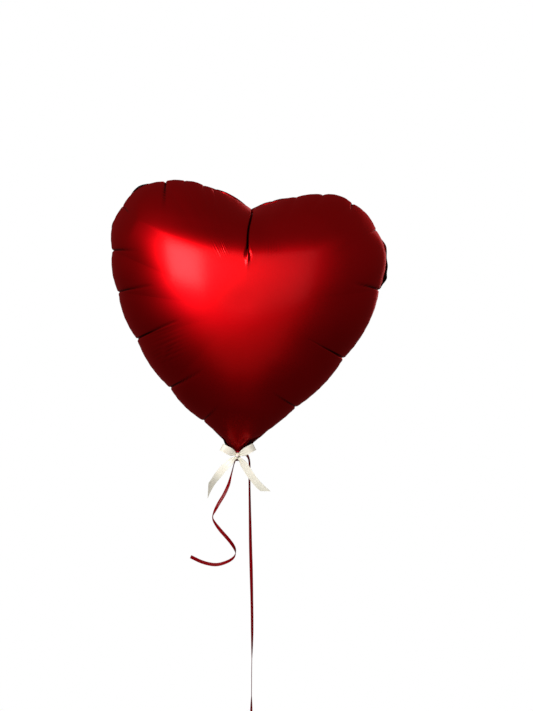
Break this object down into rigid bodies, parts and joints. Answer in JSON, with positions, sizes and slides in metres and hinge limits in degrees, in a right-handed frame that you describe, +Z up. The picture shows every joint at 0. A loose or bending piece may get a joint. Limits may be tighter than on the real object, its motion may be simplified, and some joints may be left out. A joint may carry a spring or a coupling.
{
  "type": "foil balloon",
  "caption": "Heart-shaped metallic film balloon, filled, with a satin bow and pearl at its neck, a curled ribbon and a long ribbon that ends in a hand loop.",
  "frame": {"origin": "middle of the ribbon tie on the gathered neck under the heart's tip", "axes": "+Z up from the neck through the heart, -Y out of the front panel, +X to the right as the front is seen; the heart leans 3.2 degrees to +X"},
  "size_m": [0.386, 0.2016, 0.7796],
  "materials": {
    "foil": "satin",
    "clear_film": "gloss",
    "red_ribbon": "satin",
    "satin": "satin",
    "pearl": "gloss",
    "thread": "matte"
  },
  "bodies": {
    "envelope": {"front_panel": "foil", "rear_panel": "foil", "valve_front_ply": "clear_film", "valve_rear_ply": "clear_film", "ribbon_wrap": "red_ribbon", "ribbon_knot": "red_ribbon", "bow_thread": "thread"},
    "ribbon": {"long_ribbon": "red_ribbon", "hand_loop_knot": "red_ribbon"},
    "loop": {"hand_loop": "red_ribbon"},
    "curl": {"short_ribbon": "red_ribbon"},
    "bow": {"bow_loop_left": "satin", "bow_loop_right": "satin", "bow_waist": "satin", "pearl_bead": "pearl"},
    "tail_left": {"bow_tail_left": "satin"},
    "tail_right": {"bow_tail_right": "satin"}
  },
  "joints": [
    {"name": "ribbon_swing", "type": "hinge", "parent": "envelope", "child": "ribbon", "pos_m": [0, 0.01, -0.002], "axis": [0, 1, 0], "range_deg": [-30, 30]},
    {"name": "loop_swing", "type": "hinge", "parent": "ribbon", "child": "loop", "pos_m": [0.0184, 0.012, -0.3604], "axis": [0, 1, 0], "range_deg": [-40, 40]},
    {"name": "curl_swing", "type": "hinge", "parent": "envelope", "child": "curl", "pos_m": [0, 0.007, -0.002], "axis": [0, 1, 0], "range_deg": [-25, 25]},
    {"name": "bow_turn", "type": "hinge", "parent": "envelope", "child": "bow", "pos_m": [0, -0.006, -0.0042], "axis": [0, 1, 0], "range_deg": [-14, 14]},
    {"name": "tail_left_lift", "type": "hinge", "parent": "bow", "child": "tail_left", "pos_m": [0, -0.0087, -0.0076], "axis": [1, 0, 0], "range_deg": [-50, 0]},
    {"name": "tail_right_lift", "type": "hinge", "parent": "bow", "child": "tail_right", "pos_m": [0, -0.0087, -0.0076], "axis": [1, 0, 0], "range_deg": [-50, 0]}
  ]
}
